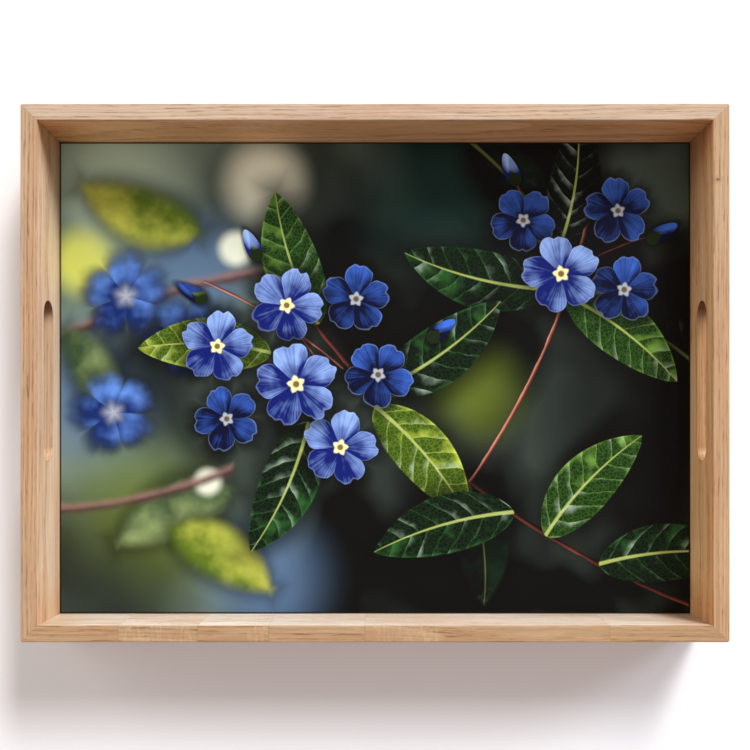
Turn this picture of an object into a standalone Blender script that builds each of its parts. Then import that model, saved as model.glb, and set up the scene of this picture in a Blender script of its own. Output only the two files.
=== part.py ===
"""Serving tray: four mitred oak boards round a printed floor, with a finger slot in each short board.

Metres, +Z up. The origin is the centre of the tray's footprint, on the surface it stands on.
X runs along the tray, from one handle to the other, and Y across it.
"""

import math

import bmesh
import bpy
from mathutils import Vector

# The inside of the tray, which is what the printed floor measures.
FLOOR_LENGTH = 0.400
FLOOR_WIDTH = 0.299
FLOOR_TOP = 0.011

# The oak boards.
BOARD_THICKNESS = 0.010
BOARD_HEIGHT = 0.055
EASED_EDGE = 0.0007
CORNER_RADIUS = 0.0014

# The finger slots in the short boards.
SLOT_LENGTH = 0.098
SLOT_HEIGHT = 0.018
SLOT_BELOW_RIM = 0.013
SLOT_TOWARDS_FRONT = 0.0035
SLOT_ROUNDOVER = 0.0006

# The fibreboard floor and the printed sheet on it.
PANEL_THICKNESS = 0.004
SHEET_THICKNESS = 0.0008
GROOVE_DEPTH = 0.004

# The loose tongue inside each mitre.
TONGUE_THICKNESS = 0.0024
TONGUE_WIDTH = 0.0074
TONGUE_HEIGHT = 0.030
TONGUE_FROM_CORNER = 0.0078
TONGUE_LOWEST = 0.016

# Clearance left between two pieces that touch on the real tray.
GAP = 0.0003

# How finely the rounded shapes are drawn.
EDGE_STEPS = 4
CORNER_STEPS = 5
SLOT_END_STEPS = 20
ROUNDOVER_STEPS = 4

OUTER_LENGTH = FLOOR_LENGTH + 2 * BOARD_THICKNESS
OUTER_WIDTH = FLOOR_WIDTH + 2 * BOARD_THICKNESS
SHEET_BOTTOM = FLOOR_TOP - SHEET_THICKNESS
PANEL_TOP = SHEET_BOTTOM - GAP
PANEL_BOTTOM = PANEL_TOP - PANEL_THICKNESS
GROOVE_TOP = PANEL_TOP + GAP
GROOVE_BOTTOM = PANEL_BOTTOM - GAP
SLOT_CENTRE_HEIGHT = BOARD_HEIGHT - SLOT_BELOW_RIM - SLOT_HEIGHT / 2


def clear_scene():
    for obj in list(bpy.data.objects):
        bpy.data.objects.remove(obj, do_unlink=True)


def linear(hex_colour):
    """An sRGB hex colour as the linear RGBA that a shader takes."""
    parts = [int(hex_colour[i : i + 2], 16) / 255 for i in (1, 3, 5)]
    return [c / 12.92 if c <= 0.04045 else ((c + 0.055) / 1.055) ** 2.4 for c in parts] + [1.0]


def material(name, hex_colour, roughness):
    made = bpy.data.materials.new(name)
    made.use_nodes = True
    shader = made.node_tree.nodes["Principled BSDF"]
    shader.inputs["Base Color"].default_value = linear(hex_colour)
    shader.inputs["Roughness"].default_value = roughness
    shader.inputs["Metallic"].default_value = 0.0
    made.diffuse_color = linear(hex_colour)
    return made


def loft(name, rings):
    """A closed body through rings of as many points each, with the first and the last capped."""
    mesh = bmesh.new()
    loops = [[mesh.verts.new(point) for point in ring] for ring in rings]
    count = len(rings[0])
    for low, high in zip(loops, loops[1:]):
        for i in range(count):
            j = (i + 1) % count
            mesh.faces.new((low[i], low[j], high[j], high[i]))
    mesh.faces.new(loops[0])
    mesh.faces.new(loops[-1])
    bmesh.ops.recalc_face_normals(mesh, faces=mesh.faces)
    data = bpy.data.meshes.new(name)
    mesh.to_mesh(data)
    mesh.free()
    obj = bpy.data.objects.new(name, data)
    bpy.context.scene.collection.objects.link(obj)
    return obj


def finish(obj, its_material, sharp_degrees=35):
    obj.data.materials.append(its_material)
    obj.data.shade_smooth()
    obj.data.set_sharp_from_angle(angle=math.radians(sharp_degrees))
    return obj


def as_cutter(obj):
    obj.hide_render = True
    obj.display_type = "WIRE"
    return obj


def cut(obj, cutter):
    modifier = obj.modifiers.new("cut_" + cutter.name, "BOOLEAN")
    modifier.operation = "DIFFERENCE"
    modifier.solver = "EXACT"
    modifier.object = cutter


def eased_corner(inwards, height, first_quarter):
    """The quarter circle that eases one long edge, round a centre given as (distance in, height)."""
    points = []
    for step in range(EDGE_STEPS + 1):
        turn = math.pi / 2 * (first_quarter + step / EDGE_STEPS)
        points.append((inwards + EASED_EDGE * math.cos(turn), height + EASED_EDGE * math.sin(turn)))
    return points


def board_profile():
    """The board's section, as (distance in from the outer face, height), with the groove for the floor."""
    near_in, far_in = EASED_EDGE, BOARD_THICKNESS - EASED_EDGE
    low, high = EASED_EDGE, BOARD_HEIGHT - EASED_EDGE
    groove_in = BOARD_THICKNESS - GROOVE_DEPTH
    profile = eased_corner(near_in, low, 2) + eased_corner(far_in, low, 3)
    profile += [
        (BOARD_THICKNESS, GROOVE_BOTTOM),
        (groove_in, GROOVE_BOTTOM),
        (groove_in, GROOVE_TOP),
        (BOARD_THICKNESS, GROOVE_TOP),
    ]
    profile += eased_corner(far_in, high, 0) + eased_corner(near_in, high, 1)
    return profile


def end_path(inwards, length):
    """How one line of the profile runs into the mitre: (distance along from the middle, distance in)."""
    half = length / 2
    back_from_mitre = GAP / math.sqrt(2)
    straight_until = half - BOARD_THICKNESS - CORNER_RADIUS
    path = [(straight_until, inwards)]
    radius = CORNER_RADIUS - inwards
    if radius <= 0:
        mitre = half - inwards - back_from_mitre
        for step in range(1, CORNER_STEPS + 2):
            share = step / (CORNER_STEPS + 1)
            path.append((straight_until + (mitre - straight_until) * share, inwards))
        return path
    last = math.acos(back_from_mitre / (radius * math.sqrt(2))) - math.pi / 4
    for step in range(CORNER_STEPS + 1):
        turn = last * step / CORNER_STEPS
        along = half - CORNER_RADIUS + radius * math.sin(turn)
        path.append((along, CORNER_RADIUS - radius * math.cos(turn)))
    return path


def board(name, length, oak):
    """A mitred board along X. Its outer face is at y = 0 and its inner face towards +Y."""
    lines = [(end_path(inwards, length), height) for inwards, height in board_profile()]
    stations = CORNER_STEPS + 2
    rings = []
    for k in reversed(range(stations)):
        rings.append([Vector((-path[k][0], path[k][1], height)) for path, height in lines])
    for k in range(stations):
        rings.append([Vector((path[k][0], path[k][1], height)) for path, height in lines])
    return finish(loft(name, rings), oak)


def stadium(grown):
    """The slot's outline grown by a distance, in the board's own X and Z round the slot's centre."""
    radius = SLOT_HEIGHT / 2 + grown
    straight = SLOT_LENGTH / 2 - SLOT_HEIGHT / 2
    points = []
    for end in (1, -1):
        for step in range(SLOT_END_STEPS + 1):
            turn = math.pi * step / SLOT_END_STEPS
            points.append((end * (straight + radius * math.sin(turn)), end * radius * math.cos(turn)))
    return points


def slot_cutter(name):
    """The slot through a board, from before its outer face to past its inner one, with rounded mouths."""
    mouth = [(-GAP, SLOT_ROUNDOVER)]
    for step in range(ROUNDOVER_STEPS + 1):
        turn = math.pi / 2 * step / ROUNDOVER_STEPS
        mouth.append((SLOT_ROUNDOVER * (1 - math.cos(turn)), SLOT_ROUNDOVER * (1 - math.sin(turn))))
    levels = mouth + [(BOARD_THICKNESS - depth, grown) for depth, grown in reversed(mouth)]
    rings = [
        [Vector((along, depth, SLOT_CENTRE_HEIGHT + up)) for along, up in stadium(grown)]
        for depth, grown in levels
    ]
    return as_cutter(loft(name, rings))


def block(name, size, centre, height_from, turn=0.0):
    """A plain block of that length, width and height, turned about the vertical line through its centre."""
    length, width, height = size
    signs = [(-1, -1), (1, -1), (1, 1), (-1, 1)]
    rings = [
        [Vector((along * length / 2, across * width / 2, z)) for along, across in signs]
        for z in (0.0, height)
    ]
    obj = loft(name, rings)
    obj.location = (centre[0], centre[1], height_from)
    obj.rotation_euler = (0.0, 0.0, turn)
    return obj


def mitre_tongue(name, corner_x, corner_y, its_material):
    """The loose tongue of one corner, with the cutter for the mortises that it sits in."""
    inwards = TONGUE_FROM_CORNER / math.sqrt(2)
    centre = (corner_x * (OUTER_LENGTH / 2 - inwards), corner_y * (OUTER_WIDTH / 2 - inwards))
    turn = math.atan2(corner_y, corner_x)
    size = (TONGUE_THICKNESS, TONGUE_WIDTH, TONGUE_HEIGHT)
    tongue = finish(block(name, size, centre, TONGUE_LOWEST, turn), its_material)
    room = tuple(side + 2 * GAP for side in size)
    mortise = as_cutter(block(name + "_mortise", room, centre, TONGUE_LOWEST - GAP, turn))
    return tongue, mortise


def build():
    clear_scene()
    oak = material("oiled_oak", "#C99F76", 0.55)
    beech = material("beech", "#D9B48C", 0.60)
    fibreboard = material("fibreboard", "#8A6644", 0.85)
    printed = material("printed_sheet", "#2A3A33", 0.35)

    # Each board's outer face looks away from the middle, so each is turned a quarter from the one before.
    places = {
        "board_front": (OUTER_LENGTH, (0.0, -OUTER_WIDTH / 2), 0),
        "board_right": (OUTER_WIDTH, (OUTER_LENGTH / 2, 0.0), 1),
        "board_back": (OUTER_LENGTH, (0.0, OUTER_WIDTH / 2), 2),
        "board_left": (OUTER_WIDTH, (-OUTER_LENGTH / 2, 0.0), 3),
    }
    boards = {}
    for name, (length, place, quarters) in places.items():
        boards[name] = board(name, length, oak)
        boards[name].location = (place[0], place[1], 0.0)
        boards[name].rotation_euler = (0.0, 0.0, quarters * math.pi / 2)

    for name in ("board_left", "board_right"):
        cutter = slot_cutter("slot_in_" + name)
        cutter.location = boards[name].location
        cutter.location.y -= SLOT_TOWARDS_FRONT
        cutter.rotation_euler = boards[name].rotation_euler
        cut(boards[name], cutter)

    corners = {
        "tongue_front_left": (-1, -1, ("board_front", "board_left")),
        "tongue_front_right": (1, -1, ("board_front", "board_right")),
        "tongue_back_right": (1, 1, ("board_back", "board_right")),
        "tongue_back_left": (-1, 1, ("board_back", "board_left")),
    }
    for name, (corner_x, corner_y, joined) in corners.items():
        _, mortise = mitre_tongue(name, corner_x, corner_y, beech)
        for board_name in joined:
            cut(boards[board_name], mortise)

    reach = 2 * (GROOVE_DEPTH - GAP)
    panel_size = (FLOOR_LENGTH + reach, FLOOR_WIDTH + reach, PANEL_THICKNESS)
    finish(block("floor_panel", panel_size, (0.0, 0.0), PANEL_BOTTOM), fibreboard)
    sheet_size = (FLOOR_LENGTH - 2 * GAP, FLOOR_WIDTH - 2 * GAP, SHEET_THICKNESS)
    finish(block("printed_sheet", sheet_size, (0.0, 0.0), SHEET_BOTTOM), printed)


build()
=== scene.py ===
import math

import bmesh
import bpy
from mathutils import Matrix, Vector


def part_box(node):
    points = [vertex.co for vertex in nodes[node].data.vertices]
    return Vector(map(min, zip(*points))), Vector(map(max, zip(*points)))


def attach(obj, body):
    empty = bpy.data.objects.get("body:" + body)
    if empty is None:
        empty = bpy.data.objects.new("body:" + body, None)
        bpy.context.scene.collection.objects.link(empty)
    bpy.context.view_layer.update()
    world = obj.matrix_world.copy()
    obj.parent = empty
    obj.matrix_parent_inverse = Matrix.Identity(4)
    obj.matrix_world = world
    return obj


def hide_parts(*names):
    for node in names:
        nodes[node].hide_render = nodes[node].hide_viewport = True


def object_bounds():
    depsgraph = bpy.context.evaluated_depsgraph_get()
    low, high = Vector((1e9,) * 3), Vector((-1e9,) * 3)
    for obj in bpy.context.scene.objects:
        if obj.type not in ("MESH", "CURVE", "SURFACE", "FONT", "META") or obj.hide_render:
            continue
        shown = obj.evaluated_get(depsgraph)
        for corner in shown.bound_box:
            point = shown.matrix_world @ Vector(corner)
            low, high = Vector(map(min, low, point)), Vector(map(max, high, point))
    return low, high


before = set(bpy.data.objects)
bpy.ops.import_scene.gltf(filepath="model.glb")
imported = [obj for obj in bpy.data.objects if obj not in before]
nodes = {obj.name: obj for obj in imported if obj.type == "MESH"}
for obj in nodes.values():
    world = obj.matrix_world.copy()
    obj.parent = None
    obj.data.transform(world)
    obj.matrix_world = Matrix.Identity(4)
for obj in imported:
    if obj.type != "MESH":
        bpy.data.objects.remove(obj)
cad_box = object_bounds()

# The four boards: oak planed to 10 mm, grooved on the inside for the floor, mitred at both ends and
# glued round it. Every long edge is eased with sandpaper, the upright corners a little more.

MM = 0.001
low, high = cad_box
tray_length = high.x - low.x
tray_width = high.y - low.y
board_height = high.z - low.z
board_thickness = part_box("board_left")[1].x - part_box("board_left")[0].x
fit = 0.3 * MM
groove_depth = 4.0 * MM
groove_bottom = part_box("floor_panel")[0].z - fit
groove_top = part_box("floor_panel")[1].z + fit
eased_edge = 0.7 * MM
upright_corner = 1.4 * MM
mitre_opening = 0.05 * MM
edge_steps = 8
corner_steps = 10


def linear(hex_colour):
    """An sRGB hex colour as the linear colour that a shader takes."""
    parts = [int(hex_colour[i : i + 2], 16) / 255 for i in (1, 3, 5)]
    return [c / 12.92 if c <= 0.04045 else ((c + 0.055) / 1.055) ** 2.4 for c in parts] + [1.0]


def add(tree, kind, *values, out=0, named=None, **settings):
    """Adds a node, sets its properties, fills its inputs in order and by name, and gives an output.
    A Mix node of colours takes its two colours as inputs 6 and 7, and gives the mixed one as output 2."""
    node = tree.nodes.new("ShaderNode" + kind)
    for setting, value in settings.items():
        setattr(node, setting, value)
    for key, value in [*enumerate(values), *(named or {}).items()]:
        if isinstance(value, bpy.types.NodeSocket):
            tree.links.new(value, node.inputs[key])
        elif value is not None:
            node.inputs[key].default_value = value
    return node.outputs[out] if node.outputs else node


def new_object(name, data):
    made = bpy.data.objects.new(name, data)
    bpy.context.scene.collection.objects.link(made)
    return made


def loft(name, rings):
    """A closed body through rings of as many points each."""
    mesh = bmesh.new()
    loops = [[mesh.verts.new(point) for point in ring] for ring in rings]
    count = len(rings[0])
    for lower, upper in zip(loops, loops[1:]):
        for i in range(count):
            j = (i + 1) % count
            mesh.faces.new((lower[i], lower[j], upper[j], upper[i]))
    mesh.faces.new(loops[0])
    mesh.faces.new(loops[-1])
    bmesh.ops.recalc_face_normals(mesh, faces=mesh.faces)
    data = bpy.data.meshes.new(name)
    mesh.to_mesh(data)
    mesh.free()
    return new_object(name, data)


def eased_corner(inwards, height, first_quarter):
    points = []
    for step in range(edge_steps + 1):
        turn = math.pi / 2 * (first_quarter + step / edge_steps)
        points.append((inwards + eased_edge * math.cos(turn), height + eased_edge * math.sin(turn)))
    return points


def board_section():
    """The section of every board, as (distance in from the outer face, height)."""
    near_in, far_in = eased_edge, board_thickness - eased_edge
    groove_in = board_thickness - groove_depth
    groove = [
        (board_thickness, groove_bottom),
        (groove_in, groove_bottom),
        (groove_in, groove_top),
        (board_thickness, groove_top),
    ]
    lower = eased_corner(near_in, eased_edge, 2) + eased_corner(far_in, eased_edge, 3)
    top = board_height - eased_edge
    return lower + groove + eased_corner(far_in, top, 0) + eased_corner(near_in, top, 1)


def run_into_mitre(inwards, length):
    """Where one line of the section ends: (along, in) points round the upright corner to the mitre."""
    half = length / 2
    set_back = mitre_opening / 2 * math.sqrt(2)
    straight_until = half - board_thickness - upright_corner
    radius = upright_corner - inwards
    if radius <= 0:
        mitre = half - inwards - set_back
        shares = [step / (corner_steps + 1) for step in range(corner_steps + 2)]
        return [(straight_until + (mitre - straight_until) * share, inwards) for share in shares]
    last = math.acos(set_back / (radius * math.sqrt(2))) - math.pi / 4
    path = [(straight_until, inwards)]
    for step in range(corner_steps + 1):
        turn = last * step / corner_steps
        along = half - upright_corner + radius * math.sin(turn)
        path.append((along, upright_corner - radius * math.cos(turn)))
    return path


def oak_board(name, length, place, quarters):
    """A mitred board: X along it, Y in from its outer face, Z up. Its grain follows those axes."""
    lines = [(run_into_mitre(inwards, length), height) for inwards, height in board_section()]
    ends = []
    for k in range(corner_steps + 2):
        ends.append([Vector((path[k][0], path[k][1], height)) for path, height in lines])
    mirrored = [[Vector((-point.x, point.y, point.z)) for point in ring] for ring in reversed(ends)]
    board = loft(name, mirrored + ends)
    board.location = place
    board.rotation_euler.z = quarters * math.pi / 2
    return board


def cut(board, cutter):
    modifier = board.modifiers.new("cut", "BOOLEAN")
    modifier.operation = "DIFFERENCE"
    modifier.solver = "EXACT"
    modifier.object = cutter
    with bpy.context.temp_override(object=board, active_object=board):
        bpy.ops.object.modifier_apply(modifier=modifier.name)
    bpy.data.objects.remove(cutter)


def smooth_with_sharp_edges(piece, degrees=30):
    piece.data.shade_smooth()
    piece.data.set_sharp_from_angle(angle=math.radians(degrees))
    weighted = piece.modifiers.new("flat_faces_stay_flat", "WEIGHTED_NORMAL")
    weighted.keep_sharp = True


def new_material(name):
    """A material, its nodes, its shader, and the place on the piece in mm, along the piece's own axes."""
    material = bpy.data.materials.new(name)
    material.use_nodes = True
    tree = material.node_tree
    place = add(tree, "TexCoord", out="Object")
    mm = add(tree, "VectorMath", place, (1000.0, 1000.0, 1000.0), operation="MULTIPLY")
    return material, tree, tree.nodes["Principled BSDF"], mm


def oiled_oak(name, board_length, colours, pith, lean, figure, seed,
              joints=(), flecked=(), shaded_slot_end=None, knot=None):
    """White oak, planed, sanded and oiled: a satin tan with straight lines of darker open pores, which
    take up more oil than the smooth late wood between them. Where the rays come to the surface
    they lie across the grain as paler wavy flecks. All places are in mm along the board."""
    rim_colour, inside_colour, outside_colour = colours
    ring_width = 2.4
    material, tree, shader, mm = new_material(name)
    along, inwards, height = add(tree, "SeparateXYZ", mm).node.outputs

    # A board glued up end to end from short lengths: past each joint the wood is from another tree.
    timber = mm
    for joint in joints:
        past = add(tree, "Math", along, joint, operation="GREATER_THAN")
        timber = add(tree, "VectorMath", past, (410.0, 17.0, -9.0), timber, operation="MULTIPLY_ADD")

    # The tree's own wander, 1 to 3 mm over the length of a board, which bends every ring alike.
    bend_at = add(tree, "Mapping", timber, (seed, 0, 0), None, (1 / 105, 1 / 45, 1 / 45))
    bend = add(tree, "TexNoise", bend_at, named={"Scale": 1.0, "Detail": 2.0}, out="Color")
    bend = add(tree, "VectorMath", bend, (0.5, 0.5, 0.5), operation="SUBTRACT")
    bend = add(tree, "VectorMath", bend, (0, figure, figure), timber, operation="MULTIPLY_ADD")
    log = add(tree, "Mapping", bend, (0, -pith[0], -pith[1]), (0, lean[1], lean[0]), (1, 1, 1))
    out_from_pith = add(tree, "VectorMath", log, (0, 1, 1), operation="MULTIPLY")
    radius = add(tree, "VectorMath", out_from_pith, operation="LENGTH", out="Value")
    good_years = add(tree, "Math", radius, 0.09, seed, operation="MULTIPLY_ADD")
    good_years = add(tree, "TexNoise", noise_dimensions="1D",
                     named={"W": good_years, "Scale": 1.0, "Detail": 2.0})
    rings = add(tree, "Math", radius, 1 / ring_width, operation="MULTIPLY")
    rings = add(tree, "Math", good_years, 3.0, rings, operation="MULTIPLY_ADD")
    year = add(tree, "Math", rings, operation="FRACT")
    fading = add(tree, "MapRange", year, 0.05, 0.75, 1.0, 0.0, interpolation_type="SMOOTHSTEP")
    starting = add(tree, "MapRange", year, 0.0, 0.07, 0.0, 1.0, interpolation_type="SMOOTHSTEP")
    early_wood = add(tree, "Math", fading, starting, operation="MULTIPLY")

    # Open pores: dashes 3 to 12 mm long. Real ones are 0.2 to 0.3 mm wide, too fine to show from
    # where the tray is seen whole, so the longer ones, a fifth of them, are up to twice as wide.
    pores = 0.0
    for length, width, from_level in ((16.0, 1.0, 0.56), (8.0, 0.42, 0.58)):
        pore_scale = (1 / length, 1 / width, 1 / width)
        pore_at = add(tree, "Mapping", bend, (seed * 3, seed, length), None, pore_scale)
        pore = add(tree, "TexNoise", pore_at, named={"Scale": 1.0, "Detail": 1.5})
        full_level = from_level + 0.13
        pore = add(tree, "MapRange", pore, from_level, full_level, interpolation_type="SMOOTHSTEP")
        pores = add(tree, "Math", pore, pores, operation="MAXIMUM")
    porous = add(tree, "MapRange", early_wood, 0.0, 0.6, 0.25, 1.0)
    pores = add(tree, "Math", pores, porous, operation="MULTIPLY")

    # The fibres between the pores, and slow changes of tone from one part of the board to another.
    fibre_at = add(tree, "Mapping", bend, (seed, 7, 3), None, (1 / 55, 1 / 0.8, 1 / 0.8))
    fibre = add(tree, "TexNoise", fibre_at, named={"Scale": 1.0, "Detail": 4.0, "Roughness": 0.65})
    tone_at = add(tree, "Mapping", bend, (seed * 2, 1, 5), None, (1 / 90, 1 / 7, 1 / 14))
    tone = add(tree, "TexNoise", tone_at, named={"Scale": 1.0, "Detail": 2.0})
    rosy = add(tree, "TexNoise", tone_at, named={"Scale": 0.6, "Detail": 1.0})

    rim = board_height / MM
    inner_face = board_thickness / MM
    on_rim = add(tree, "MapRange", height, rim - 0.9, rim - 0.2, interpolation_type="SMOOTHSTEP")
    on_inside = add(tree, "MapRange", inwards, inner_face - 0.8, inner_face - 0.2,
                    interpolation_type="SMOOTHSTEP")
    # Painted light and shade: each board's inside face has a colour of its own, paler where the lamps light
    # it and warmer where it lies in shade.
    wood = add(tree, "Mix", on_inside, data_type="RGBA", out=2,
               named={6: linear(outside_colour), 7: linear(inside_colour)})
    wood = add(tree, "Mix", on_rim, data_type="RGBA", out=2, named={6: wood, 7: linear(rim_colour)})
    browner = add(tree, "MapRange", tone, 0.3, 0.7, 0.0, 0.7)
    wood = add(tree, "Mix", browner, data_type="RGBA", blend_type="MULTIPLY", out=2,
               named={6: wood, 7: linear("#EEDCC6")})
    rosier = add(tree, "MapRange", rosy, 0.4, 0.65, 0.0, 0.5, interpolation_type="SMOOTHSTEP")
    wood = add(tree, "Mix", rosier, data_type="RGBA", blend_type="MULTIPLY", out=2,
               named={6: wood, 7: linear("#FFEDE6")})
    darker = add(tree, "Math", early_wood, 0.32, operation="MULTIPLY")
    wood = add(tree, "Mix", darker, data_type="RGBA", blend_type="MULTIPLY", out=2,
               named={6: wood, 7: linear("#D9B58E")})
    streak = add(tree, "MapRange", fibre, 0.35, 0.65, 0.85, 1.14)
    wood = add(tree, "VectorMath", wood, streak, operation="MULTIPLY")
    pore_shade = add(tree, "Math", pores, 0.62, operation="MULTIPLY")
    wood = add(tree, "Mix", pore_shade, data_type="RGBA", blend_type="MULTIPLY", out=2,
               named={6: wood, 7: linear("#AF845C")})

    # Painted shade: the inside faces darken over the last 35 mm towards the inside corners, where the other
    # boards shade them.
    off_centre = add(tree, "Math", along, operation="ABSOLUTE")
    inner_half = board_length / 2 - inner_face
    corner_shade_length = 35
    corner_shade = add(tree, "MapRange", off_centre, inner_half - corner_shade_length, inner_half, 0.0, 0.7,
               interpolation_type="SMOOTHSTEP")
    corner_shade = add(tree, "Math", corner_shade, on_inside, operation="MULTIPLY")
    wood = add(tree, "Mix", corner_shade, data_type="RGBA", blend_type="MULTIPLY", out=2,
               named={6: wood, 7: linear("#E6D2BA")})

    # Ray flecks, about 1 mm along the board and 3 mm across, which only some stretches show.
    if flecked:
        slant = 0.55
        fleck_at = add(tree, "Mapping", bend, None, (0, 0, slant), (1 / 1.7, 1 / 6, 1 / 6))
        flecks = add(tree, "TexNoise", fleck_at, named={"Scale": 1.0, "Detail": 2.0, "Distortion": 0.6})
        flecks = add(tree, "MapRange", flecks, 0.46, 0.64, 0.0, 0.30, interpolation_type="SMOOTHSTEP")
        for middle, half_length in flecked:
            off_middle = add(tree, "Math", along, -middle, operation="ADD")
            off_middle = add(tree, "Math", off_middle, operation="ABSOLUTE")
            here = add(tree, "MapRange", off_middle, half_length + 2, half_length - 2,
                       interpolation_type="SMOOTHSTEP")
            here = add(tree, "Math", here, flecks, operation="MULTIPLY")
            wood = add(tree, "Mix", here, data_type="RGBA", out=2, named={6: wood, 7: linear("#CBAE8B")})
    for joint in joints:
        off_joint = add(tree, "Math", along, -joint, operation="ADD")
        off_joint = add(tree, "Math", off_joint, operation="ABSOLUTE")
        glue_line = add(tree, "MapRange", off_joint, 0.35, 0.1, 0.0, 0.25,
                        interpolation_type="SMOOTHSTEP")
        wood = add(tree, "Mix", glue_line, data_type="RGBA", blend_type="MULTIPLY", out=2,
                   named={6: wood, 7: linear("#A98560")})

    # End grain drinks the oil and darkens.
    facing = add(tree, "VectorMath", add(tree, "TexCoord", out="Normal"), operation="ABSOLUTE")
    facing_along, facing_out, _ = add(tree, "SeparateXYZ", facing).node.outputs
    end_grain = add(tree, "MapRange", facing_along, 0.55, 1.0, 0.0, 0.25)
    wood = add(tree, "Mix", end_grain, data_type="RGBA", blend_type="MULTIPLY", out=2,
               named={6: wood, 7: linear("#D6BC9C")})
    # Painted shade: the back end of each slot, which the wood above it shades, is darkened further.
    if shaded_slot_end is not None:
        from_end = add(tree, "Math", along, -shaded_slot_end, operation="ADD")
        from_end = add(tree, "Math", from_end, operation="ABSOLUTE")
        off_middle = add(tree, "Math", height, -slot_middle / MM, operation="ADD")
        off_middle = add(tree, "Math", off_middle, operation="ABSOLUTE")
        in_slot = add(tree, "MapRange", facing_out, 0.9, 0.5)
        in_slot = add(tree, "MapRange", off_middle, 9.8, 9.4, 0.0, in_slot)
        slot_end_shade = add(tree, "Math", tone, 9.0, from_end, operation="MULTIPLY_ADD")
        slot_end_shade = add(tree, "MapRange", slot_end_shade, 6.0, 19.0, in_slot, 0.0, interpolation_type="SMOOTHSTEP")
        wood = add(tree, "Mix", slot_end_shade, data_type="RGBA", blend_type="MULTIPLY", out=2,
                   named={6: wood, 7: linear("#A88B68")})
        # Painted shade: the rounded mouth of the slot is darkened, so that it doesn't show as a bright lit
        # line.
        rounded = add(tree, "MapRange", facing_out, 0.985, 0.93, interpolation_type="SMOOTHSTEP")
        mouth = add(tree, "MapRange", facing_out, 0.15, 0.35, 0.0, rounded)
        mouth = add(tree, "MapRange", off_middle, 10.2, 9.8, 0.0, mouth)
        wood = add(tree, "Mix", mouth, data_type="RGBA", blend_type="MULTIPLY", out=2,
                   named={6: wood, 7: linear("#C3AC90")})

    # A pin knot, a dark speck of 1.5 by 2 mm with the grain darker round it.
    if knot is not None:
        round_knot = add(tree, "VectorMath", mm, tuple(-way for way in knot), operation="ADD")
        round_knot = add(tree, "VectorMath", round_knot, (0.8, 0.55, 0.55), operation="MULTIPLY")
        from_knot = add(tree, "VectorMath", round_knot, operation="LENGTH", out="Value")
        speck = add(tree, "MapRange", from_knot, 0.95, 0.25, 0.0, 0.8, interpolation_type="SMOOTHSTEP")
        ringed = add(tree, "MapRange", from_knot, 3.0, 0.6, 0.0, 0.25, interpolation_type="SMOOTHSTEP")
        speck = add(tree, "Math", speck, ringed, operation="ADD")
        wood = add(tree, "Mix", speck, data_type="RGBA", out=2, named={6: wood, 7: linear("#7C5634")})
    tree.links.new(wood, shader.inputs["Base Color"])

    roughness = add(tree, "MapRange", pores, 0.0, 1.0, 0.50, 0.72)
    tree.links.new(roughness, shader.inputs["Roughness"])
    relief = add(tree, "Math", pores, -0.6, fibre, operation="MULTIPLY_ADD")
    bump = add(tree, "Bump", named={"Strength": 0.35, "Distance": 0.12 * MM, "Height": relief}, out="Normal")
    tree.links.new(bump, shader.inputs["Normal"])
    shader.inputs["IOR"].default_value = 1.47
    return material


# Each board was cut elsewhere in the tree: its colours on the rim, inside and outside, where the pith lay,
# in mm from the board's outer bottom edge, how far the grain leans off the length, in radians, how much it
# wanders, in mm, and where its noise patterns start. The inside colours are painted light and shade too:
# paler on the lit front and left, warmer on the shaded back and right.
board_wood_and_face_light = {
    "front": (("#B39877", "#E4DBD0", "#B89976"), (88, 30), (0.010, 0.004), 6.0, 3.1),
    "right": (("#BC9F7E", "#EAC297", "#B8936C"), (-96, 18), (0.004, -0.006), 3.0, 11.7),
    "back": (("#C7B6A4", "#F8CC9C", "#C7B6A4"), (-84, 40), (-0.014, 0.005), 5.0, 23.9),
    "left": (("#BCA183", "#EBD1B4", "#C0A78C"), (104, 22), (0.003, 0.006), 2.5, 37.3),
}

board_places = {
    "front": (tray_length, (0.0, low.y, 0.0), 0),
    "right": (tray_width, (high.x, 0.0, 0.0), 1),
    "back": (tray_length, (0.0, high.y, 0.0), 2),
    "left": (tray_width, (low.x, 0.0, 0.0), 3),
}
board_marks = {
    "front": {"joints": (-152, -105, -63, -6, 139), "flecked": ((-128.5, 23), (17, 21), (-70, 6))},
    "right": {"shaded_slot_end": 45.5, "knot": (114.4, 7.1, 55.0)},
    "back": {},
    "left": {"shaded_slot_end": -45.5},
}
# The slots' middle is 33 mm up, which leaves 13 mm of wood over them.
slot_middle = 33 * MM
boards = {}
for side, (length, place, quarters) in board_places.items():
    boards[side] = oak_board("oak_board_" + side, length, place, quarters)
    oak = oiled_oak("oiled_oak_" + side, length / MM, *board_wood_and_face_light[side], **board_marks[side])
    boards[side].data.materials.append(oak)

# The finger slots, routed right through the two short boards, their mouths rounded over a little
# and sanded. The fingers go in from outside, just under the rim.

slot_length = 98 * MM
slot_height = 18 * MM
slot_towards_front = 3.5 * MM
slot_roundover = 0.6 * MM
slot_end_steps = 32
roundover_steps = 8


def slot_outline(grown):
    radius = slot_height / 2 + grown
    straight = slot_length / 2 - slot_height / 2
    points = []
    for end in (1, -1):
        for step in range(slot_end_steps + 1):
            turn = math.pi * step / slot_end_steps
            points.append((end * (straight + radius * math.sin(turn)), end * radius * math.cos(turn)))
    return points


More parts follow.
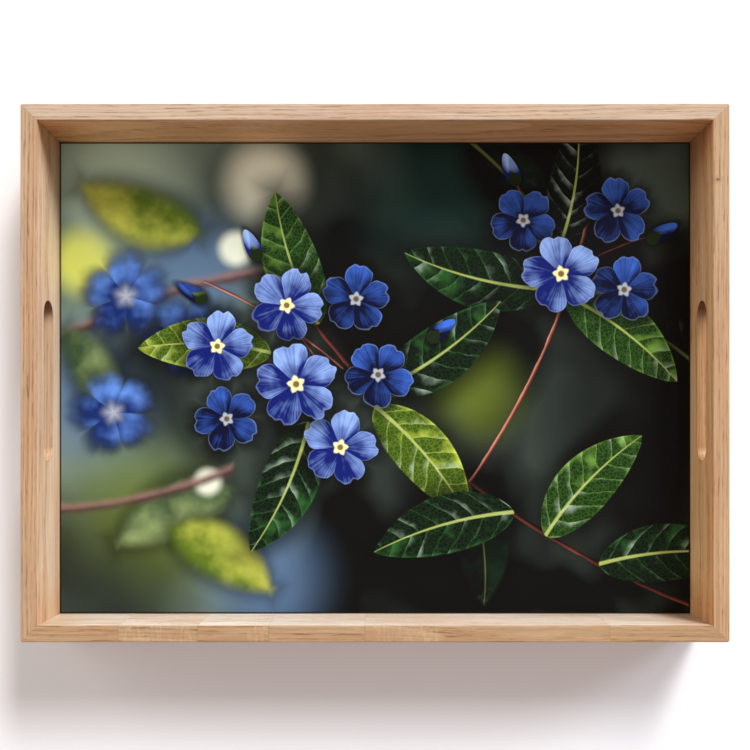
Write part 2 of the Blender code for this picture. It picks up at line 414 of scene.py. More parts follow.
for side in ("left", "right"):
    mouth = [(-fit, slot_roundover)]
    for step in range(roundover_steps + 1):
        turn = math.pi / 2 * step / roundover_steps
        mouth.append((slot_roundover * (1 - math.cos(turn)), slot_roundover * (1 - math.sin(turn))))
    levels = mouth + [(board_thickness - depth, grown) for depth, grown in reversed(mouth)]
    rings = [
        [Vector((along, depth, slot_middle + up)) for along, up in slot_outline(grown)]
        for depth, grown in levels
    ]
    cutter = loft("slot_cutter", rings)
    cutter.location = boards[side].location - Vector((0.0, slot_towards_front, 0.0))
    cutter.rotation_euler = boards[side].rotation_euler
    cut(boards[side], cutter)

# The loose tongues: slips of beech glued across the inside of each mitre, in mortises that are cut
# into both boards. Closed in by the joint, they show on no side of the tray.

# Planed beech: a pale pinkish brown, matte and even, with short brown dashes where the rays end.
beech, tree, shader, mm = new_material("planed_beech")
grain_at = add(tree, "Mapping", mm, None, None, (1 / 0.7, 1 / 0.7, 1 / 24))
grain = add(tree, "TexNoise", grain_at, named={"Scale": 1.0, "Detail": 3.0})
# The rays of beech are short brown dashes, 2 to 3 mm long and under half a millimetre wide.
dash_at = add(tree, "Mapping", mm, None, None, (1 / 0.4, 1 / 0.4, 1 / 2.6))
dashes = add(tree, "TexNoise", dash_at, named={"Scale": 1.0, "Detail": 0.0})
dashes = add(tree, "MapRange", dashes, 0.62, 0.70, 0.0, 0.5, interpolation_type="SMOOTHSTEP")
wood = add(tree, "Mix", grain, data_type="RGBA", out=2,
           named={6: linear("#C99A72"), 7: linear("#E2BD98")})
wood = add(tree, "Mix", dashes, data_type="RGBA", out=2, named={6: wood, 7: linear("#94623E")})
tree.links.new(wood, shader.inputs["Base Color"])
bump = add(tree, "Bump", named={"Strength": 0.3, "Distance": 0.05 * MM, "Height": grain}, out="Normal")
tree.links.new(bump, shader.inputs["Normal"])
shader.inputs["Roughness"].default_value = 0.6

tongue_corners = {
    "tongue_front_left": ("front", "left"),
    "tongue_front_right": ("front", "right"),
    "tongue_back_right": ("back", "right"),
    "tongue_back_left": ("back", "left"),
}
for tongue, joined in tongue_corners.items():
    nodes[tongue].material_slots[0].material = beech
    for side in joined:
        cutter = new_object("mortise_cutter", nodes[tongue].data.copy())
        mesh = bmesh.new()
        mesh.from_mesh(cutter.data)
        bmesh.ops.remove_doubles(mesh, verts=mesh.verts, dist=1e-6)
        mesh.normal_update()
        # Each corner of the slip has three square faces, so its normal times root 3 moves them all.
        for vertex in mesh.verts:
            vertex.co += vertex.normal * fit * math.sqrt(3)
        mesh.to_mesh(cutter.data)
        mesh.free()
        cut(boards[side], cutter)

for side, board in boards.items():
    smooth_with_sharp_edges(board)
    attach(board, "root")
    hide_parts("board_" + side)

# The floor panel: 4 mm hard fibreboard, let into the grooves with a little room to move. Its upper
# face carries the printed sheet. Its underside, which shows when the tray is lifted, is rough, with
# the mesh of the screen that it was pressed on.

# Hard fibreboard, pressed wet and hot: dull, cloudy brown, with paler fibres matted into it.
fibreboard, tree, shader, mm = new_material("hard_fibreboard")
mottle = add(tree, "TexNoise", mm, named={"Scale": 0.08, "Detail": 5.0, "Roughness": 0.6})
matted_at = add(tree, "Mapping", mm, None, (0, 0, 0.4), (0.5, 1.6, 1.0))
fibres = add(tree, "TexNoise", matted_at,
             named={"Scale": 1.0, "Detail": 4.0, "Roughness": 0.7, "Distortion": 1.5})
brown = add(tree, "Mix", mottle, data_type="RGBA", out=2,
            named={6: linear("#5F4027"), 7: linear("#8D6843")})
lighter = add(tree, "MapRange", fibres, 0.42, 0.72, 0.0, 0.55, interpolation_type="SMOOTHSTEP")
brown = add(tree, "Mix", lighter, data_type="RGBA", out=2, named={6: brown, 7: linear("#A9835A")})
# Real screen wires are 1.3 mm apart, drawn here at 1.8 mm so that they still show from half a metre.
wire_spacing = 1.8
across_wires, along_wires, up = add(tree, "SeparateXYZ", mm).node.outputs
pressed = 0.0
for line in (across_wires, along_wires):
    wave = add(tree, "Math", line, 2 * math.pi / wire_spacing, operation="MULTIPLY")
    wave = add(tree, "Math", wave, operation="COSINE")
    wave = add(tree, "MapRange", wave, 0.1, 1.0, interpolation_type="SMOOTHSTEP")
    pressed = add(tree, "Math", wave, pressed, operation="MAXIMUM")
panel_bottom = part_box("floor_panel")[0].z / MM
underside = add(tree, "MapRange", up, panel_bottom + 0.3, panel_bottom + 0.1)
pressed = add(tree, "Math", pressed, underside, operation="MULTIPLY")
dented = add(tree, "Math", pressed, 0.5, operation="MULTIPLY")
brown = add(tree, "Mix", dented, data_type="RGBA", blend_type="MULTIPLY", out=2,
            named={6: brown, 7: linear("#B49A80")})
tree.links.new(brown, shader.inputs["Base Color"])
relief = add(tree, "Math", pressed, -1.0, fibres, operation="MULTIPLY_ADD")
bump = add(tree, "Bump", named={"Strength": 0.6, "Distance": 0.25 * MM, "Height": relief}, out="Normal")
tree.links.new(bump, shader.inputs["Normal"])
roughness = add(tree, "MapRange", fibres, 0.3, 0.7, 0.92, 0.78)
tree.links.new(roughness, shader.inputs["Roughness"])
shader.inputs["Specular IOR Level"].default_value = 0.3
nodes["floor_panel"].material_slots[0].material = fibreboard

# The printed sheet: white melamine paper with a botanical print, pressed on to the panel. Sharp
# blossoms and leaves stand before others that are out of focus, in blues and dark greens.


def motif(name, **own_inputs):
    """A group that lays one motif over the print so far, with its place, turn and size as inputs."""
    tree = bpy.data.node_groups.new(name, "ShaderNodeTree")
    usual = {
        "Below": "Color", "At": "Vector", "Place": "Vector", "Turn": "Vector", "Size": "Vector",
        "Blur": "Float", "Crisp": "Float", "Dark": "Color", "Light": "Color", "Mottling": "Vector",
    }
    for label, kind in {**usual, **own_inputs}.items():
        tree.interface.new_socket(label, in_out="INPUT", socket_type="NodeSocket" + kind)
    tree.interface.new_socket("Print", in_out="OUTPUT", socket_type="NodeSocketColor")
    given = tree.nodes.new("NodeGroupInput").outputs
    local = add(tree, "Mapping", given["At"], given["Place"], given["Turn"], given["Size"],
                vector_type="TEXTURE")
    return tree, given, local


def lay_over(tree, given, inside, shade_reach, colour):
    """Lays the motif's colour where inside is positive, over a soft shadow that reaches past it."""
    outwards = add(tree, "Math", given["Blur"], -1.0, operation="MULTIPLY")
    shadow = add(tree, "MapRange", inside, -shade_reach, 0.05, 0.0, 0.7, interpolation_type="SMOOTHSTEP")
    below = add(tree, "Mix", shadow, data_type="RGBA", blend_type="MULTIPLY", out=2,
                named={6: given["Below"], 7: linear("#121A1C")})
    mask = add(tree, "MapRange", inside, outwards, given["Blur"], interpolation_type="SMOOTHSTEP")
    result = add(tree, "Mix", mask, data_type="RGBA", out=2, named={6: below, 7: colour})
    tree.links.new(result, tree.nodes.new("NodeGroupOutput").inputs["Print"])


# A leaf lies along X from its base at 0 to its tip at 1, bent sideways. It has a midrib that thins
# towards the tip, side veins with the blade raised between them, a fine net and a glossy upper side.
tree, given, local = motif("leaf", Width="Float", Bend="Float")
mottle, gloss, cells = add(tree, "SeparateXYZ", given["Mottling"]).node.outputs
x, y, _ = add(tree, "SeparateXYZ", local).node.outputs
onward = add(tree, "Clamp", x, 0.001, 0.999)
back = add(tree, "Math", 1.0, onward, operation="SUBTRACT")
arch = add(tree, "Math", onward, back, operation="MULTIPLY")
y = add(tree, "Math", arch, given["Bend"], y, operation="MULTIPLY_ADD")
off = add(tree, "Math", y, operation="ABSOLUTE")
rise = add(tree, "Math", onward, 0.62, operation="POWER")
fall = add(tree, "Math", back, 0.80, operation="POWER")
half_width = add(tree, "Math", rise, fall, operation="MULTIPLY")
half_width = add(tree, "Math", half_width, given["Width"], operation="MULTIPLY")
inside = add(tree, "Math", half_width, off, operation="SUBTRACT")
past_tip = add(tree, "Math", 1.0, x, operation="SUBTRACT")
ends = add(tree, "Math", x, past_tip, operation="MINIMUM")
inside = add(tree, "Math", inside, ends, operation="MINIMUM")
share_out = add(tree, "Math", off, half_width, operation="DIVIDE")
blurred = add(tree, "Math", given["Blur"], 1.3, operation="MULTIPLY")
blurred_back = add(tree, "Math", given["Blur"], -1.3, operation="MULTIPLY")
upper = add(tree, "MapRange", y, blurred_back, blurred)
along_vein = add(tree, "Math", off, -1.9, -0.55, operation="MULTIPLY_ADD")
along_vein = add(tree, "Math", along_vein, off, x, operation="MULTIPLY_ADD")
along_vein = add(tree, "Math", mottle, 0.03, along_vein, operation="MULTIPLY_ADD")
staggered = add(tree, "Math", upper, 0.5, operation="MULTIPLY")
veins = add(tree, "Math", along_vein, 7.5, staggered, operation="MULTIPLY_ADD")
veins = add(tree, "Math", veins, operation="FRACT")
between = add(tree, "Math", veins, -0.5, operation="ADD")
from_middle = add(tree, "Math", between, operation="ABSOLUTE")
vein = add(tree, "MapRange", from_middle, 0.43, 0.5, 0.0, 0.24, interpolation_type="SMOOTHSTEP")
net = add(tree, "Math", vein, cells, operation="ADD")
net = add(tree, "Math", net, given["Crisp"], operation="MULTIPLY")
thinning = add(tree, "Math", x, 0.012, off, operation="MULTIPLY_ADD")
midrib = add(tree, "MapRange", thinning, 0.019, 0.008, 0.0, 0.7, interpolation_type="SMOOTHSTEP")
midrib = add(tree, "Math", midrib, given["Crisp"], operation="MULTIPLY")
patchy = add(tree, "MapRange", given["Crisp"], 0.0, 1.0, 0.30, 0.85)
level = add(tree, "MapRange", given["Crisp"], 0.0, 1.0, -0.10, -0.42)
bright = add(tree, "Math", mottle, patchy, level, operation="MULTIPLY_ADD")
raised = add(tree, "Math", between, 0.36, operation="MULTIPLY")
raised = add(tree, "Math", raised, given["Crisp"], operation="MULTIPLY")
bright = add(tree, "Math", bright, raised, operation="ADD")
bright = add(tree, "Math", upper, 0.26, bright, operation="MULTIPLY_ADD")
bright = add(tree, "Math", x, 0.32, bright, operation="MULTIPLY_ADD")
edge = add(tree, "MapRange", share_out, 0.84, 1.0, 0.0, 0.30, interpolation_type="SMOOTHSTEP")
bright = add(tree, "Math", edge, given["Crisp"], bright, operation="MULTIPLY_ADD")
bright = add(tree, "Clamp", bright, 0.0, 1.0)
colour = add(tree, "Mix", bright, data_type="RGBA", out=2, named={6: given["Dark"], 7: given["Light"]})
colour = add(tree, "Mix", net, data_type="RGBA", out=2, named={6: colour, 7: given["Light"]})
colour = add(tree, "Mix", midrib, data_type="RGBA", out=2, named={6: colour, 7: linear("#B9C878")})
shine = add(tree, "Math", raised, 1.1, gloss, operation="MULTIPLY_ADD")
shine = add(tree, "MapRange", shine, 0.60, 1.0, 0.0, 0.5, interpolation_type="SMOOTHSTEP")
shine = add(tree, "Math", shine, given["Crisp"], operation="MULTIPLY")
colour = add(tree, "Mix", shine, data_type="RGBA", out=2, named={6: colour, 7: linear("#CFE3D6")})
lay_over(tree, given, inside, 0.20, colour)
leaf = tree

# A blossom is about 1 in radius, with five notched petals, each tucked under the one beside it,
# fine lines from the throat outwards and a pale eye.
tree, given, local = motif("blossom", Eye="Color")
mottle, _, _ = add(tree, "SeparateXYZ", given["Mottling"]).node.outputs
x, y, _ = add(tree, "SeparateXYZ", local).node.outputs
radius = add(tree, "VectorMath", local, operation="LENGTH", out="Value")
round_about = add(tree, "Math", y, x, operation="ARCTAN2")
petals = add(tree, "Math", round_about, 5 / (2 * math.pi), 2.5, operation="MULTIPLY_ADD")
which = add(tree, "Math", petals, operation="FLOOR")
across = add(tree, "Math", petals, operation="FRACT")
across = add(tree, "Math", across, -0.5, operation="ADD")
off = add(tree, "Math", across, operation="ABSOLUTE")
outline = add(tree, "Math", across, math.pi, operation="MULTIPLY")
outline = add(tree, "Math", outline, operation="COSINE")
outline = add(tree, "Math", outline, 0.45, operation="POWER")
outline = add(tree, "Math", outline, 0.42, 0.54, operation="MULTIPLY_ADD")
notch = add(tree, "MapRange", off, 0.12, 0.0, 0.0, 0.07, interpolation_type="SMOOTHSTEP")
outline = add(tree, "Math", outline, notch, operation="SUBTRACT")
outline = add(tree, "Math", mottle, 0.16, outline, operation="MULTIPLY_ADD")
inside = add(tree, "Math", outline, radius, operation="SUBTRACT")
lines_at = add(tree, "Math", across, 22.0, operation="MULTIPLY")
lines_at = add(tree, "CombineXYZ", lines_at, radius, which)
lines = add(tree, "TexNoise", lines_at, named={"Scale": 1.0, "Detail": 1.0})
bright = add(tree, "MapRange", lines, 0.3, 0.7, -0.13, 0.13)
bright = add(tree, "Math", bright, given["Crisp"], operation="MULTIPLY")
deepest = add(tree, "MapRange", given["Crisp"], 0.0, 1.0, -0.14, -0.46)
tucked = add(tree, "MapRange", across, -0.5, -0.16, deepest, 0.0, interpolation_type="SMOOTHSTEP")
bright = add(tree, "Math", bright, tucked, operation="ADD")
curled = add(tree, "MapRange", across, 0.1, 0.48, 0.0, 0.16, interpolation_type="SMOOTHSTEP")
bright = add(tree, "Math", bright, curled, operation="ADD")
throat = add(tree, "MapRange", radius, 0.0, 0.7, -0.30, 0.12, interpolation_type="SMOOTHSTEP")
bright = add(tree, "Math", bright, throat, operation="ADD")
leaning = add(tree, "Math", which, 2.4, operation="MULTIPLY")
leaning = add(tree, "Math", leaning, operation="SINE")
bright = add(tree, "Math", leaning, 0.07, bright, operation="MULTIPLY_ADD")
upright = add(tree, "VectorMath", given["At"], given["Place"], operation="SUBTRACT")
upright = add(tree, "VectorMath", upright, given["Size"], operation="DIVIDE")
lit = add(tree, "VectorMath", upright, (0.16, 0.34, 0.0), operation="DOT_PRODUCT", out="Value")
bright = add(tree, "Math", bright, lit, operation="ADD")
bright = add(tree, "Math", mottle, 0.6, bright, operation="MULTIPLY_ADD")
bright = add(tree, "Math", bright, 0.18, operation="ADD")
bright = add(tree, "Clamp", bright, 0.0, 1.0)
colour = add(tree, "Mix", bright, data_type="RGBA", out=2, named={6: given["Dark"], 7: given["Light"]})
lip = add(tree, "MapRange", inside, 0.05, 0.0, 0.0, 0.28)
lip = add(tree, "Math", lip, given["Crisp"], operation="MULTIPLY")
colour = add(tree, "Mix", lip, data_type="RGBA", out=2, named={6: colour, 7: linear("#B4CBEF")})
eye = add(tree, "Math", off, 0.16, radius, operation="MULTIPLY_ADD")
eye_ends = add(tree, "Math", given["Blur"], 0.7, 0.23, operation="MULTIPLY_ADD")
eye_full = add(tree, "Math", given["Blur"], -0.6, 0.18, operation="MULTIPLY_ADD")
eye = add(tree, "MapRange", eye, eye_ends, eye_full, 0.0, 1.0, interpolation_type="SMOOTHSTEP")
colour = add(tree, "Mix", eye, data_type="RGBA", out=2, named={6: colour, 7: given["Eye"]})
well = add(tree, "MapRange", radius, 0.11, 0.05, 0.0, 0.9, interpolation_type="SMOOTHSTEP")
well = add(tree, "Math", well, given["Crisp"], operation="MULTIPLY")
colour = add(tree, "Mix", well, data_type="RGBA", out=2, named={6: colour, 7: linear("#5C4A18")})
lay_over(tree, given, inside, 0.48, colour)
blossom = tree

# A bud lies along X, pointed at 1, rolled up with one petal edge winding round it, in a green cup.
tree, given, local = motif("bud")
mottle, _, _ = add(tree, "SeparateXYZ", given["Mottling"]).node.outputs
x, y, _ = add(tree, "SeparateXYZ", local).node.outputs
taper = add(tree, "MapRange", x, -1.0, 1.0, 1.7, 3.0)
side = add(tree, "Math", y, taper, operation="MULTIPLY")
span = add(tree, "CombineXYZ", x, side, 0.0)
radius = add(tree, "VectorMath", span, operation="LENGTH", out="Value")
inside = add(tree, "Math", 1.0, radius, operation="SUBTRACT")
upright = add(tree, "VectorMath", given["At"], given["Place"], operation="SUBTRACT")
upright = add(tree, "VectorMath", upright, given["Size"], operation="DIVIDE")
lit = add(tree, "VectorMath", upright, (0.7, 1.3, 0.0), operation="DOT_PRODUCT", out="Value")
roundness = add(tree, "Math", inside, 0.7, lit, operation="MULTIPLY_ADD")
rolled = add(tree, "Math", x, 0.9, side, operation="MULTIPLY_ADD")
rolled = add(tree, "MapRange", rolled, 0.05, 0.45, -0.35, 0.1, interpolation_type="SMOOTHSTEP")
bright = add(tree, "Math", roundness, rolled, operation="ADD")
bright = add(tree, "Math", mottle, 0.5, bright, operation="MULTIPLY_ADD")
bright = add(tree, "Clamp", bright, 0.0, 1.0)
colour = add(tree, "Mix", bright, data_type="RGBA", out=2, named={6: given["Dark"], 7: given["Light"]})
cup = add(tree, "Math", radius, 0.5, x, operation="MULTIPLY_ADD")
cup = add(tree, "MapRange", cup, 0.02, -0.06, 0.0, 1.0, interpolation_type="SMOOTHSTEP")
green = add(tree, "Mix", bright, data_type="RGBA", out=2, named={6: linear("#1C2C12"), 7: linear("#93A64A")})
colour = add(tree, "Mix", cup, data_type="RGBA", out=2, named={6: colour, 7: green})
lay_over(tree, given, inside, 0.5, colour)
bud = tree

# A stem runs along X from 0 to 1, bent sideways, lit along its upper edge.
tree, given, local = motif("stem", Width="Float", Bend="Float")
mottle, gloss, _ = add(tree, "SeparateXYZ", given["Mottling"]).node.outputs
x, y, _ = add(tree, "SeparateXYZ", local).node.outputs
back = add(tree, "Math", 1.0, x, operation="SUBTRACT")
arch = add(tree, "Math", x, back, operation="MULTIPLY")
y = add(tree, "Math", arch, given["Bend"], y, operation="MULTIPLY_ADD")
off = add(tree, "Math", y, operation="ABSOLUTE")
thickness = add(tree, "Math", mottle, 0.6, 0.7, operation="MULTIPLY_ADD")
thickness = add(tree, "Math", thickness, given["Width"], operation="MULTIPLY")
inside = add(tree, "Math", thickness, off, operation="SUBTRACT")
ends = add(tree, "Math", x, back, operation="MINIMUM")
inside = add(tree, "Math", inside, ends, operation="MINIMUM")
bright = add(tree, "Math", y, given["Width"], operation="DIVIDE")
bright = add(tree, "Math", gloss, 0.8, bright, operation="MULTIPLY_ADD")
bright = add(tree, "MapRange", bright, -0.2, 1.3, 0.0, 1.0, interpolation_type="SMOOTHSTEP")
colour = add(tree, "Mix", bright, data_type="RGBA", out=2, named={6: given["Dark"], 7: given["Light"]})
lay_over(tree, given, inside, 0.02, colour)
stem = tree

# A spot is a round thing far out of focus: a disc of light or dark that fades to its edge.
tree, given, local = motif("spot")
radius = add(tree, "VectorMath", local, operation="LENGTH", out="Value")
inside = add(tree, "Math", 1.0, radius, operation="SUBTRACT")
mask = add(tree, "MapRange", inside, 0.0, given["Blur"], interpolation_type="SMOOTHSTEP")
mask = add(tree, "Math", mask, 0.8, operation="MULTIPLY")
result = add(tree, "Mix", mask, data_type="RGBA", out=2, named={6: given["Below"], 7: given["Light"]})
tree.links.new(result, tree.nodes.new("NodeGroupOutput").inputs["Print"])
spot = tree

# Printed melamine: the colours lie under a clear, hard, eggshell skin with little shine.
melamine, tree, shader, mm = new_material("printed_melamine")
mm = add(tree, "VectorMath", mm, (1.0, 1.0, 0.0), operation="MULTIPLY")
# The ground of the print is far out of focus: pale haze at the left, near black at the right.
haze = add(tree, "TexNoise", mm, named={"Scale": 1 / 83, "Detail": 2.0, "Roughness": 0.4})
across_sheet, up_sheet, _ = add(tree, "SeparateXYZ", mm).node.outputs
haze_left = add(tree, "MapRange", across_sheet, -210.0, 50.0, 0.50, 0.0,
                interpolation_type="SMOOTHSTEP")
# Painted light: the haze grows paler along the back of the sheet, to offset the shadow that the back board
# casts there.
painted_light_at_back = add(tree, "MapRange", up_sheet, 85.0, 120.0, 0.0, haze_left,
                interpolation_type="SMOOTHSTEP")
haze = add(tree, "MapRange", haze, 0.35, 0.65, -0.24, 0.24)
haze = add(tree, "Math", haze, haze_left, operation="ADD")
haze = add(tree, "Math", haze, painted_light_at_back, operation="ADD")
haze = add(tree, "Clamp", haze, 0.0, 1.0)
print_so_far = add(tree, "Mix", haze, data_type="RGBA", out=2,
                   named={6: linear("#040807"), 7: linear("#8BA196")})

# What all motifs share, worked out once: patches of tone 7 mm across, others of gloss, and the
# cells of a leaf. Real cells are under 1 mm, too fine for the print's dots, so these are 2.5 mm.
mottle = add(tree, "TexNoise", mm, named={"Scale": 1 / 14, "Detail": 2.0})
mottle = add(tree, "MapRange", mottle, 0.25, 0.75, -0.5, 0.5)
gloss = add(tree, "TexNoise", mm, named={"Scale": 1 / 22, "Detail": 3.0, "Roughness": 0.6})
cells = add(tree, "TexVoronoi", mm, named={"Scale": 1 / 2.5}, feature="DISTANCE_TO_EDGE", out="Distance")
cells = add(tree, "MapRange", cells, 0.12, 0.0, 0.0, 0.14)
mottling = add(tree, "CombineXYZ", mottle, gloss, cells)

greens = {
    "fresh": ("#3E5A14", "#D2E262"),
    "leafy": ("#183A12", "#8DBB56"),
    "deep": ("#06170B", "#3F7A3C"),
    "night": ("#030806", "#1B3A24"),
    "misty": ("#3C5238", "#BACB8C"),
    "golden": ("#5C7222", "#F2F07A"),
}
blues = {
    "bright": ("#112270", "#A3C4FF"),
    "shaded": ("#060E34", "#4470CE"),
    "misty": ("#17306C", "#6E9AE6"),
}
stems = {
    "lit": ("#5A2420", "#D0917F"),
    "shaded": ("#240F10", "#8A4A40"),
    "misty": ("#573E3E", "#9A7A74"),
}
# A spot has one colour.
lights = {
    "slate": ("#5C7696",),
    "sage": ("#A8BFAE",),
    "olive": ("#67772C",),
    "pale": ("#EAF0DE",),
    "sunlit": ("#CBD26A",),
    "teal": ("#1B3A36",),
    "night": ("#040708",),
}

# Drawn from the back to the front: motif, tint, place in mm from the middle of the sheet, turn in
# degrees, size in mm, blur in mm, and for a leaf or a stem its width in mm and its bend.
layout = [
    (spot, "sage", (-160, 118), 0, 62, 50),
    (spot, "slate", (-120, 66), 0, 58, 44),
    (spot, "pale", (-70, 124), 0, 36, 26),
    (spot, "slate", (-182, -8), 0, 60, 48),
    (spot, "sunlit", (-186, 74), 0, 30, 22),
    (spot, "olive", (-150, -92), 0, 70, 60),
    (spot, "night", (-190, -150), 0, 100, 84),
    (spot, "night", (-150, 6), 0, 62, 56),
    (spot, "slate", (-66, -128), 0, 56, 46),
    (spot, "night", (-20, 60), 0, 90, 80),
    (spot, "teal", (40, 116), 0, 70, 60),
    (spot, "olive", (66, -10), 0, 44, 40),
    (spot, "night", (40, -130), 0, 110, 84),
    (spot, "night", (184, -20), 0, 130, 90),
    (spot, "pale", (-88, 82), 0, 15, 9),
    (stem, "misty", (-204, 22), 18, 150, 5, 3.4, 0.05),
    (leaf, "golden", (-112, 92), 158, 78, 7, 34, 0.05),
    (leaf, "misty", (-196, 30), -62, 66, 7, 24, 0.05),
    (leaf, "misty", (-92, -70), 206, 78, 6, 32, -0.05),
    (leaf, "golden", (-128, -96), -32, 72, 6, 32, 0.05),
    (spot, "pale", (-106, -66), 0, 12, 8),
    (blossom, "misty", (-158, 52), 20, 25, 8),
    (blossom, "misty", (-120, 26), 50, 23, 7),
    (blossom, "misty", (-166, -22), 34, 24, 8),
    (stem, "misty", (-214, -84), 12, 126, 4, 3.2, -0.05),
    (leaf, "night", (60, 150), -50, 88, 4, 36, 0.05),
    (leaf, "night", (204, 8), 150, 84, 4, 34, -0.05),
    (leaf, "night", (58, -64), -82, 80, 2, 34, 0.06),
    (stem, "shaded", (206, -146), 142, 330, 0.5, 1.8, 0.08),
    (stem, "lit", (60, -66), 66, 186, 0.4, 1.5, -0.05),
    (stem, "lit", (-20, 6), 148, 104, 0.4, 1.0, -0.04),
    (stem, "lit", (-38, 14), 118, 76, 0.4, 0.8, 0.04),
    (stem, "shaded", (0, -6), 42, 50, 0.4, 0.8, 0.04),
    (stem, "lit", (116, 66), 112, 76, 0.4, 0.8, 0.05),
    (stem, "shaded", (120, 64), 24, 66, 0.4, 0.8, 0.05),
    (leaf, "deep", (112, 56), 166, 96, 0.5, 38, 0.05),
    (leaf, "night", (118, 86), 82, 78, 0.8, 34, -0.05),
    (leaf, "deep", (2, -8), 36, 96, 0.4, 38, -0.05),
    (leaf, "leafy", (-36, 34), 108, 88, 0.4, 36, 0.05),
    (leaf, "fresh", (-66, 16), 178, 84, 0.5, 34, -0.05),
    (leaf, "deep", (-42, -28), 246, 90, 0.5, 37, 0.05),
    (leaf, "fresh", (0, -18), -50, 92, 0.4, 36, 0.05),
    (leaf, "leafy", (122, 52), -38, 88, 0.4, 36, 0.05),
    (leaf, "deep", (88, -85), 196, 92, 0.5, 38, -0.05),
    (leaf, "leafy", (108, -100), 46, 88, 0.4, 36, 0.05),
    (leaf, "deep", (142, -118), 4, 90, 0.6, 37, 0.05),
    (bud, "shaded", (-116, 54), 150, 11, 0.4),
    (bud, "bright", (-78, 84), 116, 11, 0.4),
    (bud, "shaded", (42, 30), 38, 11, 0.4),
    (bud, "bright", (86, 132), 112, 11, 0.4),
    (bud, "shaded", (182, 92), 30, 11, 0.4),
    (blossom, "shaded", (-12, 50), 12, 23, 0.4),
    (blossom, "shaded", (-94, -26), 40, 22, 0.4),
    (blossom, "bright", (-56, 46), 66, 25, 0.4),
    (blossom, "bright", (-100, 20), 8, 24, 0.4),
    (blossom, "shaded", (2, 2), 52, 23, 0.4),
    (blossom, "bright", (-22, -44), 4, 25, 0.4),
    (blossom, "bright", (-50, -4), 30, 28, 0.4),
    (blossom, "shaded", (154, 106), 24, 22, 0.5),
    (blossom, "shaded", (94, 100), 52, 22, 0.5),
    (blossom, "shaded", (158, 56), 10, 23, 0.5),
    (blossom, "bright", (118, 66), 30, 26, 0.4),
]
palettes = {"leaf": greens, "blossom": blues, "bud": blues, "stem": stems, "spot": lights}
hardly_any = (1e-7, 1e-7, 0.0)
for kind, tint, at, turn, size, blur, *shape in layout:
    colours = palettes[kind.name][tint]
    placed = tree.nodes.new("ShaderNodeGroup")
    placed.node_tree = kind
    tree.links.new(print_so_far, placed.inputs["Below"])
    # A ten-millionth of the print below is added to the place, which moves nothing. It makes each
    # motif wait for the one below, because Cycles has no room for the sums of all of them at once.
    for label, value in (("At", mm), ("Mottling", mottling)):
        waiting = add(tree, "VectorMath", print_so_far, hardly_any, value, operation="MULTIPLY_ADD")
        tree.links.new(waiting, placed.inputs[label])
    placed.inputs["Place"].default_value = (*at, 0.0)
    placed.inputs["Turn"].default_value = (0.0, 0.0, math.radians(turn))
    placed.inputs["Size"].default_value = (size, size, 1.0)
    placed.inputs["Blur"].default_value = blur / size
    placed.inputs["Crisp"].default_value = 1.0 if blur < 1 else 0.3 if blur < 5 else 0.0
    placed.inputs["Dark"].default_value = linear(colours[0])
    placed.inputs["Light"].default_value = linear(colours[-1])
    if kind == leaf:
        placed.inputs["Width"].default_value = 1.3 * shape[0] / size
    if kind == stem:
        placed.inputs["Width"].default_value = shape[0] / size
    if shape:
        placed.inputs["Bend"].default_value = -4 * shape[1]
    if kind == blossom:
        placed.inputs["Eye"].default_value = linear("#FFF3B4" if tint == "bright" else "#A4ACB8")
    print_so_far = placed.outputs["Print"]

# Painted shade: a dark line 0.8 mm wide along the cut edge against the boards, where the gap to the boards
# lies in shade. The melamine has an eggshell surface, pebbled every millimetre or so, which blurs what it
# reflects.
sheet_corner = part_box("printed_sheet")[1] / MM
to_edge = 9.0
for place, edge in ((across_sheet, sheet_corner.x), (up_sheet, sheet_corner.y)):
    place = add(tree, "Math", place, operation="ABSOLUTE")
    place = add(tree, "Math", edge, place, operation="SUBTRACT")
    to_edge = add(tree, "Math", place, to_edge, operation="MINIMUM")
edge_shade = add(tree, "MapRange", to_edge, 1.1, 0.45, 0.0, 0.9, interpolation_type="SMOOTHSTEP")
# The press prints darks darker and lights lighter than they were drawn.
inked = add(tree, "Gamma", print_so_far, 1.15)
inked = add(tree, "Mix", 1.0, data_type="RGBA", blend_type="MULTIPLY", clamp_result=True, out=2,
            named={6: inked, 7: (1.28, 1.28, 1.28, 1.0)})
printed = add(tree, "Mix", edge_shade, data_type="RGBA", out=2, named={6: inked, 7: linear("#1C130C")})
tree.links.new(printed, shader.inputs["Base Color"])
pebbles = add(tree, "TexNoise", mm, named={"Scale": 1.1, "Detail": 1.0})
bump = add(tree, "Bump", named={"Strength": 0.25, "Distance": 0.02 * MM, "Height": pebbles}, out="Normal")
tree.links.new(bump, shader.inputs["Normal"])
rubbed = add(tree, "MapRange", gloss, 0.35, 0.65, 0.50, 0.42)
tree.links.new(rubbed, shader.inputs["Roughness"])
shader.inputs["Specular IOR Level"].default_value = 0.12
nodes["printed_sheet"].material_slots[0].material = melamine

# The studio: a white table that runs on past the view, two soft lamps and a low window at the back
# right, and a warm wall at the back left and a ceiling that throw some of their light back.

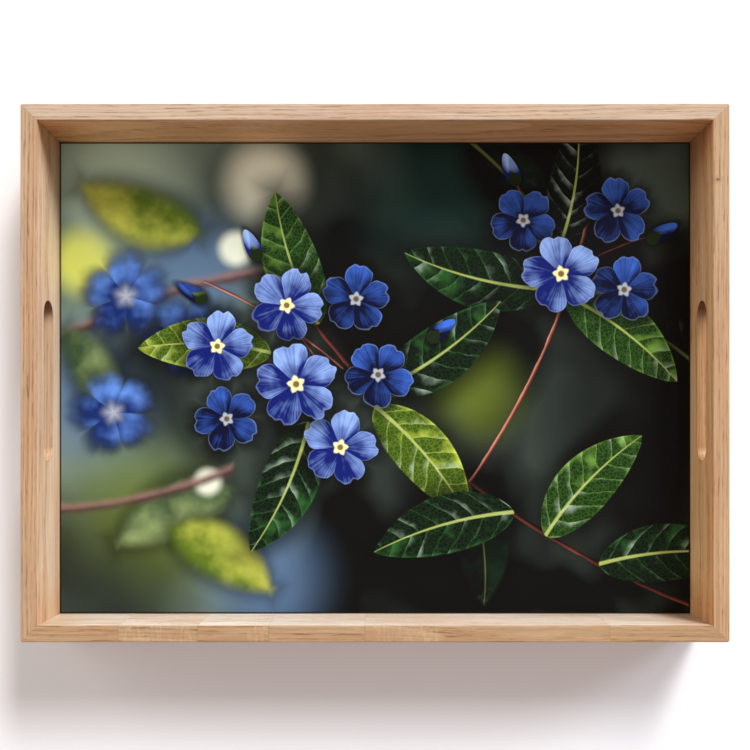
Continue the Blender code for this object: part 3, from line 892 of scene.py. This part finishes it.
table = new_object("table", bpy.data.meshes.new("table"))
half_table = 12.0
ways = ((-1, -1), (1, -1), (1, 1), (-1, 1))
corners = [(way_x * half_table, way_y * half_table, 0) for way_x, way_y in ways]
table.data.from_pydata(corners, [], [(0, 1, 2, 3)])
table.location.z = low.z - 0.2 * MM
material = bpy.data.materials.new("white_table")
material.use_nodes = True
shader = material.node_tree.nodes["Principled BSDF"]
shader.inputs["Base Color"].default_value = linear("#F2F3F9")
shader.inputs["Roughness"].default_value = 0.8
shader.inputs["Specular IOR Level"].default_value = 0.2
table.data.materials.append(material)


def lamp(name, round_about, up, strength, spread_degrees, colour):
    """A far lamp, so many degrees round from the tray's right-hand end and so many up from the table."""
    round_about, up = math.radians(round_about), math.radians(up)
    towards = (math.cos(round_about) * math.cos(up), math.sin(round_about) * math.cos(up), math.sin(up))
    data = bpy.data.lights.new(name, "SUN")
    data.energy = strength
    data.angle = math.radians(spread_degrees)
    data.color = linear(colour)[:3]
    made = new_object(name, data)
    made.rotation_euler = Vector(towards).to_track_quat("Z", "Y").to_euler()
    made.location = Vector(towards) * 2


lamp("soft_lamp_high", 62, 40, 1.6, 16, "#FFFFFF")
lamp("soft_lamp_low", 70, 30, 1.66, 16, "#FFF8F1")
lamp("low_window", 34, 16, 1.73, 22, "#E7F1FF")
lamp("left_wall", 150, 15, 1.44, 50, "#FFF8E6")
lamp("ceiling", 270, 70, 0.83, 70, "#FFE9DE")

world = bpy.data.worlds.new("pale_room")
world.use_nodes = True
room = world.node_tree.nodes["Background"]
room.inputs["Color"].default_value = linear("#FFFAF6")
room.inputs["Strength"].default_value = 0.22
bpy.context.scene.world = world
bpy.context.scene.view_settings.view_transform = "Standard"

# The camera hangs straight above the tray, a little towards its front, and looks straight down.
# Its lens is shifted back by about as much, so the tray stays in the middle of the picture.

camera_height = 0.6177
camera_towards_front = 0.0451
camera_data = bpy.data.cameras.new("camera")
camera_data.lens = 50.1
camera_data.sensor_width = 36.0
camera_data.shift_y = 0.0987
camera = new_object("camera", camera_data)
camera.location = (0.0, -camera_towards_front, high.z + camera_height)
bpy.context.scene.camera = camera
